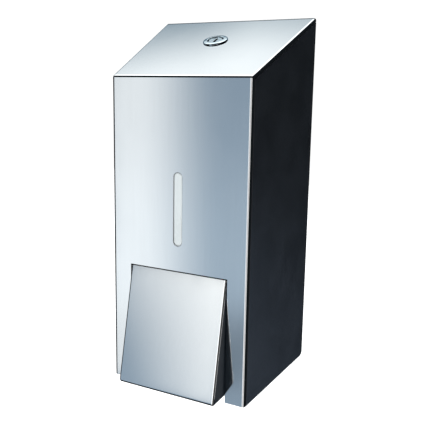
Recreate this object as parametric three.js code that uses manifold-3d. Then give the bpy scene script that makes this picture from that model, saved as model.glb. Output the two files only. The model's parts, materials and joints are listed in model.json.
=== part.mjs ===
// Wall mounted soap dispenser: a lockable steel-fronted cover that tilts forward off a wall plate,
// a refillable tank, and a horizontal piston pump worked by a push lever in the cover's foot.
// Millimetres. +X to the right seen from the front, +Y into the wall, +Z up.
// While the parts are drawn, y = 0 is the wall and z = 0 the cover's lower edge; the finished group
// is lowered so that its origin is on the wall face at ORIGIN_HEIGHT above that edge.

import * as THREE from 'three';
import { ConvexGeometry } from 'three/addons/geometries/ConvexGeometry.js';
import { mergeVertices } from 'three/addons/utils/BufferGeometryUtils.js';
import Module from 'manifold-3d';

const wasm = await Module();
wasm.setup();

// ---------------------------------------------------------------- driving dimensions

const ORIGIN_HEIGHT = 130;
const GAP = 0.3; // between pieces that touch
const LEFT = -1;
const RIGHT = 1;

const CASE = { frontWidth: 101.5, backWidth: 123.5, depth: 96, frontHeight: 216, backHeight: 259 };
const SHEET = 1; // polished steel sheet
const BEND = 2; // outer radius of the folded edges
const RETURN = 2.6; // how far the steel folds round on to the side panels
const PANEL = 2.8; // side panel
const FLANGE = 6.5; // side panel's flange behind the steel
const WALL_GAP = 0.5; // between the cover's rear edge and the wall
const HEM = { bottom: 250.5, halfWidth: 44 };

const HINGE = {
  y: -4,
  z: 3.5,
  cornerRadius: 3.5,
  pinRadius: 1.5,
  pinStart: 51.5,
  pinEnd: 59,
  bossRadius: 3.3,
  bossStart: 56.1,
};
const WINDOW = { rimX: 3, rimZ: 3.5, corner: 3, thickness: 1.5, below: 0.4 }; // below the steel's face
const SLOT = { width: 6.5, length: 50, centreZ: 128.5 };
const OPENING = { halfWidth: 36.6, top: 86.1 }; // cut-out that the lever passes through

const LEVER = {
  halfWidth: 36,
  top: 85.5,
  bottom: 5.5,
  reach: 18, // how far the foot stands out in front of the cover
  bottomDrop: 1.5,
  bend: 1.2,
  fold: 1.8,
  wall: 3.3,
  rear: 3.4, // how far the side walls reach behind the cover's front face
  topStep: 0.6, // the plastic body ends this far below the steel's top
};
const PIVOT = {
  behindFront: 5.5,
  z: 81,
  pinRadius: 2,
  pinClearance: 0.1,
  pinHalf: 42.5,
  bossRadius: 4.5,
  bossStart: 28,
};
const BRACKET = {
  thickness: 1.5,
  fromOpening: 1.7,
  depth: 8.4,
  below: 5,
  above: 16,
  footInner: 26,
  footBottom: 87.5,
};

const PLATE = { thickness: 1.5, halfWidth: 55.8, bottom: 8, top: 247, flangeDepth: 8 };
const WALL_HOLE = { radius: 2.75, halfSlot: 2.5, headRadius: 5, x: 38, lowZ: 30, highZ: 222 };
const RIVET = { radius: 1.9, headRadius: 3.4, headHeight: 1.5, clearance: 0.3 };

const TANK = {
  front: -81.5,
  back: -9.5,
  frontHalf: 46,
  backHalf: 54.3,
  bottom: 78,
  top: 190,
  wall: 1.8,
  corner: 6,
};
const NECK = { radius: 9, bore: 5, length: 12 };
const LID = { thickness: 2, skirtDepth: 5, skirtWall: 1.5, skirtGap: 0.5 };
const ARM = { inner: 22, outer: 37, thickness: 2, bottom: 52, lip: 82 };

const PUMP = { y: -40, z: 36, radius: 11, bore: 8, front: -22, rear: 8.5 };
const ROD = { radius: 3.5, headFace: -49, headRadius: 8.5, domeRadius: 12, domeHeight: 2.5 };

const LOCK = {
  alongSlope: 61.5, // from the front's upper edge to the lock's axis
  headRadius: 9,
  headHeight: 1.7,
  headRound: 0.7,
  bodyRadius: 7.4,
  bodyBottom: -18,
  plugRadius: 5.3,
  plugTop: 0.6,
  nutRadius: 12,
  nutHeight: 4,
  camTop: -20,
  camThickness: 2,
  camLength: 24,
  camHalf: 5.5,
  tailHalf: 2.4,
  screwRadius: 1.2,
  screwEnd: -12,
};
const KEYWAY = { halfWidth: 0.9, halfLength: 3.6, depth: 8 };
const CATCH = { inner: 13, outer: 26, bottom: 210, top: 232, rivetZ: 218, lipAlong: 6.5, underCam: 2 };

// ---------------------------------------------------------------- values worked out from them

const FRONT = -CASE.depth; // y of the cover's front face
const FLARE = (CASE.backWidth - CASE.frontWidth) / 2 / CASE.depth;
const SLOPE = (CASE.backHeight - CASE.frontHeight) / CASE.depth;
const SLOPE_ANGLE = Math.atan(SLOPE);
const PIVOT_Y = FRONT + PIVOT.behindFront;

// Half the cover's outer width at depth y.
function caseHalfWidth(y) {
  return CASE.frontWidth / 2 + FLARE * (y - FRONT);
}

// ---------------------------------------------------------------- materials

function finish(color, roughness, metalness, opacity = 1) {
  return new THREE.MeshStandardMaterial({ color, roughness, metalness, opacity, transparent: opacity < 1 });
}

const polishedSteel = finish(0xc9d1d8, 0.08, 1);
const blackPanel = finish(0x1f2226, 0.35, 0);
const darkPlastic = finish(0x35393b, 0.5, 0);
const plateSteel = finish(0xa9adb0, 0.4, 1);
const chromedZinc = finish(0xd8dde0, 0.1, 1);
const springSteel = finish(0xb8bcc0, 0.25, 1);
const whiteLens = finish(0xe6eaec, 0.3, 0, 0.85);
const naturalTank = finish(0xe9ecea, 0.35, 0, 0.6);
const whitePlastic = finish(0xe8e8e4, 0.45, 0);
const greyPlastic = finish(0x8d9296, 0.45, 0);
const blackRubber = finish(0x17181a, 0.8, 0);
const clearSilicone = finish(0xdfe3e2, 0.5, 0, 0.7);

// ---------------------------------------------------------------- solids

// A closed three.js geometry as a solid that can be cut and joined.
function solid(geometry) {
  const bare = geometry.clone();
  bare.deleteAttribute('normal');
  bare.deleteAttribute('uv');
  const merged = mergeVertices(bare, 1e-4);
  const vertProperties = new Float32Array(merged.attributes.position.array);
  const triVerts = new Uint32Array(merged.index.array);
  const made = new wasm.Manifold(new wasm.Mesh({ numProp: 3, vertProperties, triVerts }));
  if (made.volume() > 0) return made;
  for (let i = 0; i < triVerts.length; i += 3) {
    [triVerts[i], triVerts[i + 1]] = [triVerts[i + 1], triVerts[i]];
  }
  return new wasm.Manifold(new wasm.Mesh({ numProp: 3, vertProperties, triVerts }));
}

function join(first, ...others) {
  return others.reduce((whole, piece) => whole.add(piece), first);
}

function cut(first, ...others) {
  return others.reduce((whole, tool) => whole.subtract(tool), first);
}

function named(name, body, material) {
  const { numProp, vertProperties, triVerts } = body.getMesh();
  const positions = [];
  for (let i = 0; i < vertProperties.length; i += numProp) {
    positions.push(vertProperties[i], vertProperties[i + 1], vertProperties[i + 2]);
  }
  const geometry = new THREE.BufferGeometry();
  geometry.setAttribute('position', new THREE.Float32BufferAttribute(positions, 3));
  geometry.setIndex(Array.from(triVerts));
  geometry.computeVertexNormals();
  const mesh = new THREE.Mesh(geometry, material);
  mesh.name = name;
  return mesh;
}

function block([x0, x1], [y0, y1], [z0, z1]) {
  const box = new THREE.BoxGeometry(x1 - x0, y1 - y0, z1 - z0);
  return solid(box.translate((x0 + x1) / 2, (y0 + y1) / 2, (z0 + z1) / 2));
}

// The same block on the left or the right of the middle plane, from its inner to its outer distance.
function sideBlock(side, [inner, outer], y, z) {
  return block(side === RIGHT ? [inner, outer] : [-outer, -inner], y, z);
}

// A flat outline pushed out along one axis: side outlines are (y, z), plans (x, y) and elevations (x, z).
function extrude(outline, depth) {
  return new THREE.ExtrudeGeometry(outline, { depth, bevelEnabled: false, curveSegments: 8 });
}

function fromSide(outline, [x0, x1]) {
  const turn = new THREE.Matrix4().makeBasis(
    new THREE.Vector3(0, 1, 0),
    new THREE.Vector3(0, 0, 1),
    new THREE.Vector3(1, 0, 0),
  );
  return solid(extrude(outline, x1 - x0).applyMatrix4(turn).translate(x0, 0, 0));
}

function fromAbove(outline, [z0, z1]) {
  return solid(extrude(outline, z1 - z0).translate(0, 0, z0));
}

function fromFront(outline, [y0, y1]) {
  return solid(extrude(outline, y1 - y0).rotateX(Math.PI / 2).translate(0, y1, 0));
}

function polygon(points) {
  return new THREE.Shape(points.map(([x, y]) => new THREE.Vector2(x, y)));
}

function roundedRectangle(width, height, radius, centreX = 0, centreY = 0) {
  const x = width / 2 - radius;
  const y = height / 2 - radius;
  const shape = new THREE.Shape();
  shape.absarc(centreX + x, centreY + y, radius, 0, Math.PI / 2);
  shape.absarc(centreX - x, centreY + y, radius, Math.PI / 2, Math.PI);
  shape.absarc(centreX - x, centreY - y, radius, Math.PI, 1.5 * Math.PI);
  shape.absarc(centreX + x, centreY - y, radius, 1.5 * Math.PI, 2 * Math.PI);
  shape.closePath();
  return shape;
}

// The corner radius that makes the ends of a slot of this width round.
function roundEnd(width) {
  return width / 2 - 0.01;
}

// A piece turned on a lathe: profile points are (radius, distance along the axis), from axis to axis
// or closed.
const TURN = {
  x: (geometry) => geometry.rotateZ(-Math.PI / 2),
  y: (geometry) => geometry,
  z: (geometry) => geometry.rotateX(Math.PI / 2),
};

function turned(axis, profile, segments = 28) {
  const points = profile.map(([radius, along]) => new THREE.Vector2(radius, along));
  return solid(TURN[axis](new THREE.LatheGeometry(points, segments)));
}

function rod(axis, radius, [start, end], segments = 28) {
  return turned(axis, [[0, start], [radius, start], [radius, end], [0, end]], segments);
}

function ring(axis, inner, outer, [start, end], segments = 28) {
  const profile = [[inner, start], [outer, start], [outer, end], [inner, end], [inner, start]];
  return turned(axis, profile, segments);
}

// ---------------------------------------------------------------- folded sheet bodies

// Where two lines of a profile meet, each given by a point and its outward normal, both moved in by inset.
function meeting(first, second, inset) {
  const a = first.normal.dot(first.point) - inset;
  const b = second.normal.dot(second.point) - inset;
  const det = first.normal.x * second.normal.y - first.normal.y * second.normal.x;
  return new THREE.Vector2(
    (a * second.normal.y - b * first.normal.y) / det,
    (first.normal.x * b - second.normal.x * a) / det,
  );
}

// The lines of a convex profile in (y, z), whose points run clockwise seen from +X.
function profileLines(points) {
  return points.map(([y, z], i) => {
    const [nextY, nextZ] = points[(i + 1) % points.length];
    const normal = new THREE.Vector2(-(nextZ - z), nextY - y).normalize();
    return { point: new THREE.Vector2(y, z), normal };
  });
}

// The part of a ball that closes the corner between three faces, as points.
function cornerPatch(centre, radius, normals, steps = 4) {
  if (radius <= 0) return [centre];
  const points = [];
  for (let i = 0; i <= steps; i++) {
    for (let j = 0; j <= steps - i; j++) {
      const direction = new THREE.Vector3();
      [i, j, steps - i - j].forEach((weight, k) => direction.addScaledVector(normals[k], weight));
      points.push(centre.clone().addScaledVector(direction.normalize(), radius));
    }
  }
  return points;
}

// A convex body with a profile in (y, z), sides at halfWidth(y) that widen by flare, and all its edges
// rounded by bend. Moved in by inset, its faces and edges stay parallel to the outer ones, as in a sheet.
function foldedBody({ profile, halfWidth, flare, bend }, inset) {
  const lines = profileLines(profile);
  const toCentre = Math.max(inset, bend);
  const radius = bend - inset;
  const points = [];
  for (const side of [LEFT, RIGHT]) {
    const sideNormal = new THREE.Vector3(side, -flare, 0).normalize();
    lines.forEach((line, i) => {
      const before = lines[(i + lines.length - 1) % lines.length];
      const corner = meeting(before, line, toCentre);
      const x = side * (halfWidth(corner.x) - toCentre * Math.hypot(1, flare));
      const centre = new THREE.Vector3(x, corner.x, corner.y);
      const normals = [before, line].map(({ normal }) => new THREE.Vector3(0, normal.x, normal.y));
      points.push(...cornerPatch(centre, radius, [...normals, sideNormal]));
    });
  }
  return solid(new ConvexGeometry(points));
}

const BEYOND = 12; // how far bodies run past the faces where they are trimmed

const CASE_BODY = {
  profile: [
    [FRONT, -BEYOND],
    [FRONT, CASE.frontHeight],
    [BEYOND, CASE.backHeight + SLOPE * BEYOND],
    [BEYOND, -BEYOND],
  ],
  halfWidth: caseHalfWidth,
  flare: FLARE,
  bend: BEND,
};

const LEVER_TILT = LEVER.reach / (LEVER.top - LEVER.bottom);
const LEVER_BASE = LEVER.bottomDrop / LEVER.reach;

const LEVER_BODY = {
  profile: [
    [FRONT - LEVER.reach, LEVER.bottom],
    [FRONT + LEVER_TILT * BEYOND, LEVER.top + BEYOND],
    [FRONT + 2 * BEYOND, LEVER.top + BEYOND],
    [FRONT + 2 * BEYOND, LEVER.bottom - LEVER_BASE * (LEVER.reach + 2 * BEYOND)],
  ],
  halfWidth: () => LEVER.halfWidth,
  flare: 0,
  bend: LEVER.bend,
};

function movedIn({ point, normal }, inset) {
  return { normal, point: point.clone().addScaledVector(normal, -inset) };
}

// Everything lying deeper than the given distance behind the chosen faces of a folded body.
function deeperThan({ profile }, distance, faces) {
  const lines = profileLines(profile);
  const insets = lines.map((line, i) => (faces.includes(i) ? distance : -BEYOND));
  const points = lines.map((line, i) => {
    const last = (i + lines.length - 1) % lines.length;
    const corner = meeting(movedIn(lines[last], insets[last]), movedIn(line, insets[i]), 0);
    return [corner.x, corner.y];
  });
  return fromSide(polygon(points), [-2 * CASE.backWidth, 2 * CASE.backWidth]);
}

const CASE_FACES = { front: 0, slope: 1 };
const LEVER_FACES = { front: 0 };

// The space that the cover may fill: above its lower edge and just clear of the wall.
function coverTrim() {
  return block([-CASE.backWidth, CASE.backWidth], [2 * FRONT, -WALL_GAP], [0, 2 * CASE.backHeight]);
}

// ---------------------------------------------------------------- cover

const LOCK_Y = FRONT + LOCK.alongSlope * Math.cos(SLOPE_ANGLE);
const LOCK_Z = CASE.frontHeight + LOCK.alongSlope * Math.sin(SLOPE_ANGLE);

// Places a solid drawn about the lock's axis: z = 0 on the slope's outer face, +Y up the slope.
function onSlope(body) {
  return body.rotate([THREE.MathUtils.radToDeg(SLOPE_ANGLE), 0, 0]).translate([0, LOCK_Y, LOCK_Z]);
}

function frontSkin() {
  const sheet = cut(foldedBody(CASE_BODY, 0), foldedBody(CASE_BODY, SHEET));
  const folded = cut(sheet, deeperThan(CASE_BODY, RETURN, [CASE_FACES.front, CASE_FACES.slope]));
  const hem = block(
    [-HEM.halfWidth, HEM.halfWidth],
    [-WALL_GAP - SHEET, -WALL_GAP],
    [HEM.bottom, CASE.backHeight],
  ).intersect(foldedBody(CASE_BODY, SHEET / 2));
  const through = [FRONT - BEYOND, FRONT + BEYOND];
  const slotOutline = roundedRectangle(SLOT.width, SLOT.length, roundEnd(SLOT.width), 0, SLOT.centreZ);
  const slot = fromFront(slotOutline, through);
  const opening = block([-OPENING.halfWidth, OPENING.halfWidth], through, [-1, OPENING.top]);
  const lockHole = onSlope(rod('z', LOCK.bodyRadius + GAP, [-BEYOND, BEYOND], 40));
  const body = cut(join(folded.intersect(coverTrim()), hem), slot, opening, lockHole);
  return named('front_skin', body, polishedSteel);
}

function cheek(side) {
  const shell = cut(foldedBody(CASE_BODY, 0), foldedBody(CASE_BODY, PANEL));
  const wall = shell.intersect(deeperThan(CASE_BODY, RETURN + GAP, [CASE_FACES.front, CASE_FACES.slope]));
  const lining = cut(foldedBody(CASE_BODY, SHEET + GAP), foldedBody(CASE_BODY, PANEL));
  const edge = (y, inward) => side * (caseHalfWidth(y) - inward);
  const strip = fromAbove(
    polygon([
      [edge(FRONT, FLANGE), FRONT],
      [edge(0, FLANGE), 0],
      [edge(0, -BEYOND), 0],
      [edge(FRONT, -BEYOND), FRONT],
    ]),
    [-BEYOND, 2 * CASE.backHeight],
  );
  const panel = join(wall, lining.intersect(strip)).intersect(coverTrim());
  const ownSide = sideBlock(side, [0, CASE.backWidth], [2 * FRONT, BEYOND], [-BEYOND, 2 * CASE.backHeight]);
  const boss = atHinge(rod('x', HINGE.bossRadius, [HINGE.bossStart, HINGE.pinEnd]), side);
  const pinHole = atHinge(rod('x', HINGE.pinRadius + GAP, [0, HINGE.pinEnd + GAP]), side);
  const body = cut(join(panel.intersect(ownSide), boss), pinHole, rearCorner());
  return named(side === LEFT ? 'cheek_left' : 'cheek_right', body, blackPanel);
}

// Moves a piece drawn about the X axis on the right-hand side on to the hinge, on either side.
function atHinge(body, side) {
  return body.scale([side, 1, 1]).translate([0, HINGE.y, HINGE.z]);
}

// What the rounding about the hinge takes off the panels' lower rear corner.
function rearCorner() {
  const { y, z, cornerRadius } = HINGE;
  const square = block([-CASE.backWidth, CASE.backWidth], [y, BEYOND], [-BEYOND, z]);
  const round = rod('x', cornerRadius, [-CASE.backWidth - 1, CASE.backWidth + 1], 40).translate([0, y, z]);
  return cut(square, round);
}

function levelWindow() {
  const behind = FRONT + SHEET + GAP;
  const paneWidth = SLOT.width + 2 * WINDOW.rimX;
  const paneHeight = SLOT.length + 2 * WINDOW.rimZ;
  const pane = fromFront(
    roundedRectangle(paneWidth, paneHeight, WINDOW.corner, 0, SLOT.centreZ),
    [behind, behind + WINDOW.thickness],
  );
  const width = SLOT.width - 2 * GAP;
  const raised = fromFront(
    roundedRectangle(width, SLOT.length - 2 * GAP, roundEnd(width), 0, SLOT.centreZ),
    [FRONT + WINDOW.below, behind + WINDOW.thickness / 2],
  );
  return named('level_window', join(pane, raised), whiteLens);
}

function hingePin(side) {
  const grooveRadius = HINGE.pinRadius - 0.4;
  const groove = ring('x', grooveRadius, 2 * HINGE.pinRadius, [52.8, 53.6]);
  const shaft = cut(rod('x', HINGE.pinRadius, [HINGE.pinStart, HINGE.pinEnd]), groove);
  return named(side === LEFT ? 'hinge_pin_left' : 'hinge_pin_right', atHinge(shaft, side), springSteel);
}

// A snap ring in a pin's groove, open on one side.
function snapRing(name, innerRadius, outerRadius, [start, end], side, y, z) {
  const mouth = block([start - 1, end + 1], [0, outerRadius + 1], [-innerRadius * 0.8, innerRadius * 0.8]);
  const body = cut(ring('x', innerRadius, outerRadius, [start, end]), mouth);
  return named(name, body.scale([side, 1, 1]).translate([0, y, z]), springSteel);
}

function leverBracket(side) {
  const behind = FRONT + SHEET + GAP;
  const { thickness, fromOpening, depth, below, above, footInner, footBottom } = BRACKET;
  const inner = OPENING.halfWidth + fromOpening;
  const top = PIVOT.z + above;
  const outer = inner + thickness;
  const ear = sideBlock(side, [inner, outer], [behind, behind + depth], [PIVOT.z - below, top]);
  const foot = sideBlock(side, [footInner, outer], [behind, behind + thickness], [footBottom, top]);
  const name = side === LEFT ? 'lever_bracket_left' : 'lever_bracket_right';
  return named(name, cut(join(ear, foot), leverPinHole()), plateSteel);
}

function leverPinHole() {
  const half = CASE.frontWidth / 2;
  return rod('x', PIVOT.pinRadius + PIVOT.pinClearance, [-half, half]).translate([0, PIVOT_Y, PIVOT.z]);
}

function leverPin() {
  const groove = ring('x', PIVOT.pinRadius - 0.5, 2 * PIVOT.pinRadius, [40.3, 41.1]);
  const grooves = [LEFT, RIGHT].map((side) => groove.scale([side, 1, 1]));
  const shaft = cut(rod('x', PIVOT.pinRadius, [-PIVOT.pinHalf, PIVOT.pinHalf]), ...grooves);
  return named('lever_pin', shaft.translate([0, PIVOT_Y, PIVOT.z]), springSteel);
}

function cover() {
  const group = new THREE.Group();
  group.add(frontSkin(), levelWindow(), leverPin());
  for (const side of [LEFT, RIGHT]) {
    const end = side === LEFT ? 'left' : 'right';
    group.add(cheek(side), hingePin(side), leverBracket(side));
    group.add(snapRing(`hinge_clip_${end}`, 1.25, 3, [52.9, 53.5], side, HINGE.y, HINGE.z));
    group.add(snapRing(`lever_clip_${end}`, 1.65, 3.8, [40.4, 41], side, PIVOT_Y, PIVOT.z));
  }
  return group;
}

// ---------------------------------------------------------------- lock, drawn about its own axis

// Puts meshes drawn about the lock's axis on the cover's slope.
function slopeGroup() {
  const group = new THREE.Group();
  group.position.set(0, LOCK_Y, LOCK_Z);
  group.rotation.x = SLOPE_ANGLE;
  return group;
}

function lockHousing() {
  const { headRadius, headHeight, headRound, bodyRadius, bodyBottom, plugRadius } = LOCK;
  const bore = plugRadius + GAP;
  const profile = [
    [bore, bodyBottom],
    [bodyRadius, bodyBottom],
    [bodyRadius, GAP / 2],
    [headRadius, GAP / 2],
    [headRadius, headHeight - headRound],
    [headRadius - 0.3 * headRound, headHeight - 0.3 * headRound],
    [headRadius - headRound, headHeight],
    [bore + headRound, headHeight],
    [bore, headHeight - headRound],
    [bore, bodyBottom],
  ];
  return named('lock_housing', turned('z', profile, 48), chromedZinc);
}

function lockNut() {
  const corners = Array.from({ length: 6 }, (_, i) => {
    const angle = (i * Math.PI) / 3;
    return [LOCK.nutRadius * Math.cos(angle), LOCK.nutRadius * Math.sin(angle)];
  });
  const top = -SHEET - GAP;
  const body = cut(
    fromAbove(polygon(corners), [top - LOCK.nutHeight, top]),
    rod('z', LOCK.bodyRadius + GAP, [top - BEYOND, BEYOND]),
  );
  return named('lock_nut', body, plateSteel);
}

function lockPlug() {
  const { plugRadius, plugTop, camTop, camThickness, tailHalf, screwRadius, screwEnd } = LOCK;
  const barrel = rod('z', plugRadius, [camTop + GAP, plugTop], 40);
  const { halfWidth, halfLength, depth } = KEYWAY;
  const keyway = block([-halfWidth, halfWidth], [-halfLength, halfLength], [plugTop - depth, plugTop + 1]);
  const tailBottom = camTop - camThickness + 2 * GAP;
  const tail = block([-tailHalf, tailHalf], [-tailHalf, tailHalf], [tailBottom, camTop + 1]);
  const thread = rod('z', screwRadius + GAP, [camTop - BEYOND, screwEnd + 2 * GAP]);
  return named('lock_plug', cut(join(barrel, tail), keyway, thread), chromedZinc);
}

function lockCam() {
  const { camTop, camThickness, camLength, camHalf, tailHalf } = LOCK;
  const chamfer = 2;
  const outline = new THREE.Shape();
  outline.moveTo(camHalf, 0);
  outline.lineTo(camHalf, camLength - chamfer);
  outline.lineTo(camHalf - chamfer, camLength);
  outline.lineTo(chamfer - camHalf, camLength);
  outline.lineTo(-camHalf, camLength - chamfer);
  outline.lineTo(-camHalf, 0);
  outline.absarc(0, 0, camHalf, Math.PI, 2 * Math.PI);
  const hole = tailHalf + GAP;
  const square = block([-hole, hole], [-hole, hole], [camTop - BEYOND, camTop + BEYOND]);
  return named('lock_cam', cut(fromAbove(outline, [camTop - camThickness, camTop]), square), plateSteel);
}

function camScrew() {
  const under = LOCK.camTop - LOCK.camThickness - GAP;
  const headRadius = 4;
  const headHeight = 2;
  const head = rod('z', headRadius, [under - headHeight, under]);
  const shank = rod('z', LOCK.screwRadius, [under - 1, LOCK.screwEnd]);
  const slot = block([-0.5, 0.5], [-headRadius - 1, headRadius + 1], [under - headHeight - 1, under - 1.2]);
  return named('cam_screw', cut(join(head, shank), slot), springSteel);
}

function lock() {
  const group = slopeGroup();
  group.add(lockHousing(), lockNut(), lockPlug(), lockCam(), camScrew());
  return group;
}

// ---------------------------------------------------------------- push lever

function leverTrim(top, rear) {
  return block([-CASE.frontWidth, CASE.frontWidth], [2 * FRONT, rear], [0, top]);
}

function leverPlate() {
  const sheet = cut(foldedBody(LEVER_BODY, 0), foldedBody(LEVER_BODY, SHEET));
  const pan = cut(sheet, deeperThan(LEVER_BODY, LEVER.fold, [LEVER_FACES.front]));
  return named('lever_plate', pan.intersect(leverTrim(LEVER.top, FRONT + LEVER.rear)), polishedSteel);
}

const PAD = { rear: PIVOT_Y - 1.4, thickness: 2.3, width: 16, height: 12, corner: 2 };
const POST = { halfWidth: 9, halfHeight: 7 }; // stands behind the pad
const RIB = { x: 24, halfThickness: 1, bottom: 6, top: LEVER.top - 8 };

function leverCore() {
  const behindFold = deeperThan(LEVER_BODY, LEVER.fold + GAP, [LEVER_FACES.front]);
  const outside = foldedBody(LEVER_BODY, 0).intersect(behindFold);
  const filled = join(outside, foldedBody(LEVER_BODY, SHEET + GAP));
  const rear = FRONT + LEVER.rear;
  const trim = leverTrim(LEVER.top - LEVER.topStep, rear);
  const walls = cut(filled, foldedBody(LEVER_BODY, LEVER.wall)).intersect(trim);
  const boss = rod('x', PIVOT.bossRadius, [PIVOT.bossStart, LEVER.halfWidth - 0.5]);
  const bosses = [LEFT, RIGHT].map((side) => boss.scale([side, 1, 1]).translate([0, PIVOT_Y, PIVOT.z]));
  const foremost = FRONT - LEVER.reach;
  const post = block(
    [-POST.halfWidth, POST.halfWidth],
    [foremost, PAD.rear - PAD.thickness - GAP],
    [PUMP.z - POST.halfHeight, PUMP.z + POST.halfHeight],
  );
  const ribs = [-RIB.x, RIB.x].map((x) =>
    block([x - RIB.halfThickness, x + RIB.halfThickness], [foremost, rear], [RIB.bottom, RIB.top]),
  );
  const stiffeners = join(post, ...ribs).intersect(foldedBody(LEVER_BODY, SHEET + GAP));
  return named('lever_core', cut(join(walls, stiffeners, ...bosses), leverPinHole()), darkPlastic);
}

function leverPad() {
  const outline = roundedRectangle(PAD.width, PAD.height, PAD.corner, 0, PUMP.z);
  return named('lever_pad', fromFront(outline, [PAD.rear - PAD.thickness, PAD.rear]), blackRubber);
}

function lever() {
  const group = new THREE.Group();
  group.add(leverPlate(), leverCore(), leverPad());
  return group;
}

// ---------------------------------------------------------------- wall plate and what is fixed to it

// A wall hole: a slot that the screw stands in, with a round entry below it where the screw's head passes.
function wallHole(x, z, keyhole) {
  const { radius, halfSlot } = WALL_HOLE;
  const slot = roundedRectangle(2 * radius, 2 * (radius + halfSlot), roundEnd(2 * radius), x, z);
  const through = fromFront(slot, [-BEYOND, BEYOND]);
  if (!keyhole) return through;
  const entry = rod('y', WALL_HOLE.headRadius, [-BEYOND, BEYOND]);
  return join(through, entry.translate([x, 0, z - WALL_HOLE.halfSlot - WALL_HOLE.headRadius]));
}

const ARM_RIVETS = [58, 69];
const BACKSTOP = { halfWidth: 10, flangeHalf: 18, z: [28, 44] };

// Every rivet on the plate: its name, x, z and the y of the face that its head lies on.
function rivetPlaces() {
  const places = [];
  for (const [end, side] of [['left', LEFT], ['right', RIGHT]]) {
    const x = (side * (ARM.inner + ARM.outer - ARM.thickness)) / 2;
    const armFace = -PLATE.thickness - GAP - ARM.thickness;
    ARM_RIVETS.forEach((z, i) => places.push({ name: `arm_rivet_${end}_${i + 1}`, x, z, face: armFace }));
    const z = (BACKSTOP.z[0] + BACKSTOP.z[1]) / 2;
    const flangeX = (side * (BACKSTOP.halfWidth + BACKSTOP.flangeHalf)) / 2;
    places.push({ name: `backstop_rivet_${end}`, x: flangeX, z, face: -2 * PLATE.thickness - GAP });
  }
  const catchX = -(CATCH.inner + CATCH.outer) / 2;
  places.push({ name: 'catch_rivet', x: catchX, z: CATCH.rivetZ, face: -2 * PLATE.thickness - GAP });
  return places;
}

function rivetHole({ x, z }) {
  return rod('y', RIVET.radius + RIVET.clearance, [-BEYOND, BEYOND], 16).translate([x, 0, z]);
}

function rivet({ name, x, z, face }) {
  const top = face - GAP / 2;
  const { radius, headRadius, headHeight } = RIVET;
  const profile = [
    [0, top - headHeight],
    [0.6 * headRadius, top - 0.8 * headHeight],
    [headRadius, top],
    [radius, top],
    [radius, -GAP],
    [0, -GAP],
  ];
  return named(name, turned('y', profile, 16).translate([x, 0, z]), plateSteel);
}

function backPlate() {
  const { thickness, halfWidth, bottom, top, flangeDepth } = PLATE;
  const sheet = block([-halfWidth, halfWidth], [-thickness, 0], [bottom, top]);
  const earTop = 14;
  const outline = new THREE.Shape();
  outline.moveTo(0, top);
  outline.lineTo(-flangeDepth, top);
  outline.lineTo(-flangeDepth, earTop);
  outline.lineTo(HINGE.y - HINGE.cornerRadius, HINGE.z);
  outline.absarc(HINGE.y, HINGE.z, HINGE.cornerRadius, Math.PI, 2 * Math.PI);
  outline.lineTo(0, bottom);
  const flanges = [
    fromSide(outline, [-halfWidth, -halfWidth + thickness]),
    fromSide(outline, [halfWidth - thickness, halfWidth]),
  ];
  const hinge = rod('x', HINGE.pinRadius + PIVOT.pinClearance, [-halfWidth - 1, halfWidth + 1]);
  const holes = [LEFT, RIGHT].flatMap((side) => [
    wallHole(side * WALL_HOLE.x, WALL_HOLE.lowZ, false),
    wallHole(side * WALL_HOLE.x, WALL_HOLE.highZ, true),
  ]);
  const fixings = rivetPlaces().map(rivetHole);
  const body = cut(join(sheet, ...flanges), hinge.translate([0, HINGE.y, HINGE.z]), ...holes, ...fixings);
  return named('back_plate', body, plateSteel);
}

function tankArm(side) {
  const { inner, outer, thickness, bottom, lip } = ARM;
  const back = -PLATE.thickness - GAP;
  const seat = TANK.bottom - GAP;
  const front = TANK.front - GAP;
  const base = sideBlock(side, [inner, outer], [back - thickness, back], [bottom, seat]);
  const leg = sideBlock(side, [inner, outer], [front - thickness, back], [seat - thickness, seat]);
  const stop = sideBlock(side, [inner, outer], [front - thickness, front], [seat - thickness, lip]);
  const reach = front + 30;
  const gusset = polygon([
    [back, bottom],
    [back, seat],
    [reach, seat],
    [reach, seat - thickness],
  ]);
  const web = fromSide(gusset, side === RIGHT ? [outer - thickness, outer] : [-outer, -outer + thickness]);
  const body = cut(join(base, leg, stop, web), ...rivetPlaces().map(rivetHole));
  return named(side === LEFT ? 'tank_arm_left' : 'tank_arm_right', body, plateSteel);
}

// A hat-shaped bracket that takes the pump's thrust when the lever is pushed.
function pumpBackstop() {
  const { halfWidth, flangeHalf, z } = BACKSTOP;
  const t = PLATE.thickness;
  const foot = -t - GAP;
  const face = PUMP.y + PUMP.rear + GAP;
  const outline = polygon([
    [-flangeHalf, foot],
    [-flangeHalf, foot - t],
    [-halfWidth, foot - t],
    [-halfWidth, face],
    [halfWidth, face],
    [halfWidth, foot - t],
    [flangeHalf, foot - t],
    [flangeHalf, foot],
    [halfWidth - t, foot],
    [halfWidth - t, face + t],
    [t - halfWidth, face + t],
    [t - halfWidth, foot],
  ]);
  return named('pump_backstop', cut(fromAbove(outline, z), ...rivetPlaces().map(rivetHole)), plateSteel);
}

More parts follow.
